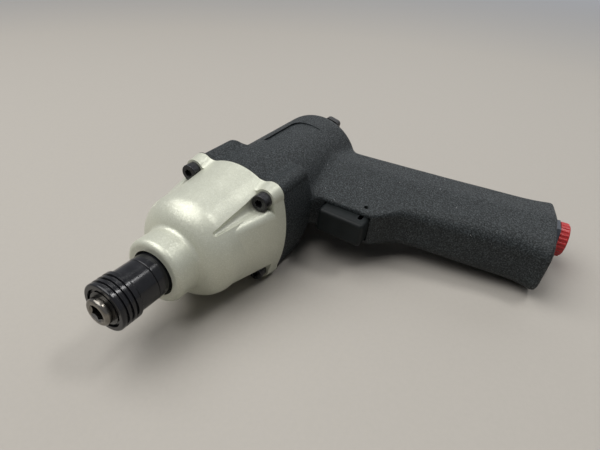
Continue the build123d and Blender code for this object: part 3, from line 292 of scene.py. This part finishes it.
def case_silver():
    """Pearly silver-grey paint: fine metal flakes under a thin clear layer, over a cast skin."""
    shade, light = (0.59, 0.605, 0.503, 1), (0.62, 0.635, 0.529, 1)
    bright, dull = (0.86, 0.87, 0.8, 1), (0.36, 0.365, 0.31, 1)
    p = Pattern("case_silver", IOR=1.5, Coat_Weight=0.15, Coat_Roughness=0.35)
    flake = p.cells(0.36 * MM, "Color")
    shine = p.node("ShaderNodeSeparateColor", {"Color": flake}).outputs[0]
    base = p.mix(p.patches(18 * MM, 0.3, 0.7, detail=2.0), shade, light)
    base = p.mix(p.span(shine, 0.7, 1.0, 0.0, 0.35), base, bright)
    base = p.mix(p.span(shine, 0.25, 0.0, 0.0, 0.2), base, dull)
    tilt = p.vector("SUBTRACT", flake, (0.5, 0.5, 0.5))
    tilt = p.vector("MULTIPLY", tilt, (FLAKE_TILT, FLAKE_TILT, FLAKE_TILT))
    normal = p.vector("NORMALIZE", p.vector("ADD", p.normal(), tilt))
    return p.wear(
        Base_Color=base,
        Roughness=p.span(p.noise(1.5 * MM, 3.0), 0.3, 0.7, 0.36, 0.44),
        Metallic=p.span(shine, 0.0, 1.0, 0.25, 0.4),
        Normal=p.bump(p.noise(1.2 * MM, 3.0), 0.012 * MM, 0.6, normal),
    )


def turned_metal(name, dark, light, rough, worn, metallic):
    """Metal turned about the spindle: fine tool rings, patches of oil and bright edges."""
    p = Pattern(name, Metallic=metallic)
    along = p.stretched(1.0 / RING_RUN, 1.0 / RING_STEP, 1.0 / RING_RUN)
    rings = p.noise(1.0, 2.0, 0.6, along)
    stain = p.noise(5 * MM, 4.0, 0.6)
    base = p.mix(p.span(stain, 0.3, 0.7), dark, light)
    if worn:
        base = p.rub(base, worn, share=0.75, radius=0.5 * MM, patch=1.6 * MM, low=0.35)
    mottle = p.blend(rings, stain, 0.5)
    return p.wear(
        Base_Color=base,
        Roughness=p.span(mottle, 0.3, 0.7, rough - 0.07, rough + 0.09),
        Normal=p.bump(rings, 0.012 * MM, 0.5),
    )


def moulded(name, dark, light, rough, rubbed, grain, depth, specular):
    """Moulded plastic or rubber: a faint grain, dust in patches and paler rubbed edges."""
    p = Pattern(name, IOR=1.48, Specular_IOR_Level=specular)
    skin = p.noise(grain, 3.0, 0.55)
    patch = p.noise(9 * MM, 3.0)
    base = p.mix(p.span(patch, 0.3, 0.7), dark, light)
    if rubbed:
        base = p.rub(base, rubbed, share=0.6, radius=0.8 * MM, patch=2.5 * MM, low=0.3)
    mottle = p.blend(skin, patch, 0.5)
    return p.wear(
        Base_Color=base,
        Roughness=p.span(mottle, 0.35, 0.65, rough - 0.08, rough + 0.08),
        Normal=p.bump(skin, depth, 0.7),
    )


def felt():
    """Pressed felt of the muffler: short hairs, lying mostly along the spindle."""
    p = Pattern("felt", Roughness=0.95, Sheen_Weight=0.3)
    hair = p.noise(0.5 * MM, 4.0, 0.7, p.stretched(1.0, 0.35, 1.6))
    base = p.mix(p.span(hair, 0.3, 0.7), (0.30, 0.28, 0.25, 1), (0.48, 0.46, 0.41, 1))
    return p.wear(Base_Color=base, Normal=p.bump(hair, 0.3 * MM))


def vane_resin():
    """Cloth-filled resin: a close weave under a brown gloss."""
    p = Pattern("vane_resin", IOR=1.52)
    inputs = {"Vector": p.place, "Scale": WEAVE_SCALE}
    warp = p.node("ShaderNodeTexWave", inputs, bands_direction="X").outputs["Fac"]
    weft = p.node("ShaderNodeTexWave", inputs, bands_direction="Y").outputs["Fac"]
    weave = p.times(warp, weft)
    return p.wear(
        Base_Color=p.mix(weave, (0.15, 0.08, 0.045, 1), (0.30, 0.17, 0.09, 1)),
        Roughness=p.span(weave, 0.0, 1.0, 0.35, 0.5),
        Normal=p.bump(weave, 0.02 * MM),
    )


def floor_pale():
    """Plain pale floor, which the camera sees fade into the backdrop far from the part."""
    p = Pattern("floor", Roughness=FLOOR_ROUGHNESS)
    pale = tuple(SPECK_LIFT * level for level in FLOOR_COLOUR[:3]) + (1.0,)
    p.wear(Base_Color=p.mix(p.noise(SPECK_SIZE, 3.0), FLOOR_COLOUR, pale))
    away = p.vector("LENGTH", p.place, output="Value")
    straight = p.node("ShaderNodeLightPath").outputs["Is Camera Ray"]
    share = p.times(p.span(away, FADE_NEAR, FADE_FAR), straight)
    inputs = {"Color": WORLD_COLOUR, "Strength": BACKDROP_STRENGTH}
    glow = p.node("ShaderNodeEmission", inputs).outputs[0]
    faded = p.node("ShaderNodeMixShader", {0: share, 1: p.shader.outputs[0], 2: glow}).outputs[0]
    p.join(faded, p.tree.nodes["Material Output"].inputs["Surface"])
    return p.material


def make_materials():
    """Every finish of the part, by the name of its material slot."""
    made = {
        "coat_black": coat_black(),
        "case_silver": case_silver(),
        "felt": felt(),
        "vane_resin": vane_resin(),
    }
    made.update({slot: turned_metal(slot, *look) for slot, look in METALS.items()})
    made.update({slot: moulded(slot, *look) for slot, look in PLASTICS.items()})
    return made


def dress_nodes():
    """Give each CAD node the finish of its material slot."""
    made = make_materials()
    for node in frame["nodes"].values():
        for slot in node.material_slots:
            slot.material = made[slot.material.name.split(".")[0]]


def make_springs():
    """A coil, a copy of each spring's mesh, stands for the spring and rides on its joint's parent
    body.
    """
    for joint in frame["record"]["behaviour"]["joints"]:
        for spring in joint.get("deforming_nodes", []):
            name = spring["node"]
            coil = bpy.data.objects.new(f"{name}_coil", frame["nodes"][name].data.copy())
            bpy.context.scene.collection.objects.link(coil)
            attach(coil, joint["parent"])
            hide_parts(name)
            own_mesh(coil)


def make_camera():
    camera = bpy.data.cameras.new("camera")
    camera.lens = LENS
    camera.sensor_width = SENSOR
    camera.clip_start = NEAREST
    seat = bpy.data.objects.new("camera", camera)
    turn = LOOK.to_track_quat("-Z", "Y") @ Quaternion((0, 0, 1), radians(ROLL))
    seat.matrix_world = Matrix.Translation(EYE) @ turn.to_matrix().to_4x4()
    bpy.context.scene.collection.objects.link(seat)
    bpy.context.scene.camera = seat


def make_floor():
    mesh = bpy.data.meshes.new("floor")
    corners = [(-1, -1), (1, -1), (1, 1), (-1, 1)]
    points = [(x * FLOOR_HALF, y * FLOOR_HALF) for x, y in corners]
    heights = [FLOOR_LEVEL + FLOOR_RISE_X * x + FLOOR_RISE_Y * y for x, y in points]
    mesh.from_pydata([(x, y, z) for (x, y), z in zip(points, heights)], [], [(0, 1, 2, 3)])
    floor = bpy.data.objects.new("floor", mesh)
    bpy.context.scene.collection.objects.link(floor)
    floor.data.materials.append(floor_pale())


def make_world():
    world = bpy.data.worlds.new("studio")
    world.use_nodes = True
    nodes, links = world.node_tree.nodes, world.node_tree.links
    seen = nodes.new("ShaderNodeLightPath").outputs
    shown = seen["Is Camera Ray"]
    for ray in ("Is Transmission Ray", "Is Glossy Ray"):
        either = nodes.new("ShaderNodeMath")
        either.operation = "MAXIMUM"
        links.new(shown, either.inputs[0])
        links.new(seen[ray], either.inputs[1])
        shown = either.outputs[0]
    level = nodes.new("ShaderNodeMapRange")
    level.inputs["To Min"].default_value = WORLD_STRENGTH
    level.inputs["To Max"].default_value = BACKDROP_STRENGTH
    links.new(shown, level.inputs["Value"])
    background = nodes["Background"]
    background.inputs["Color"].default_value = WORLD_COLOUR
    links.new(level.outputs[0], background.inputs["Strength"])
    bpy.context.scene.world = world


def make_lamps():
    for name, (place, width, height, power, colour) in LAMPS.items():
        lamp = bpy.data.lights.new(name, "AREA")
        lamp.shape = "RECTANGLE"
        lamp.size, lamp.size_y = width, height
        lamp.energy = power
        lamp.color = colour
        seat = bpy.data.objects.new(name, lamp)
        seat.location = place
        seat.rotation_mode = "QUATERNION"
        seat.rotation_quaternion = (Vector(LAMP_AIM) - Vector(place)).to_track_quat("-Z", "Y")
        bpy.context.scene.collection.objects.link(seat)


bpy.context.scene.view_settings.view_transform = "Standard"
dress_nodes()
make_springs()
make_camera()
make_floor()
make_world()
make_lamps()
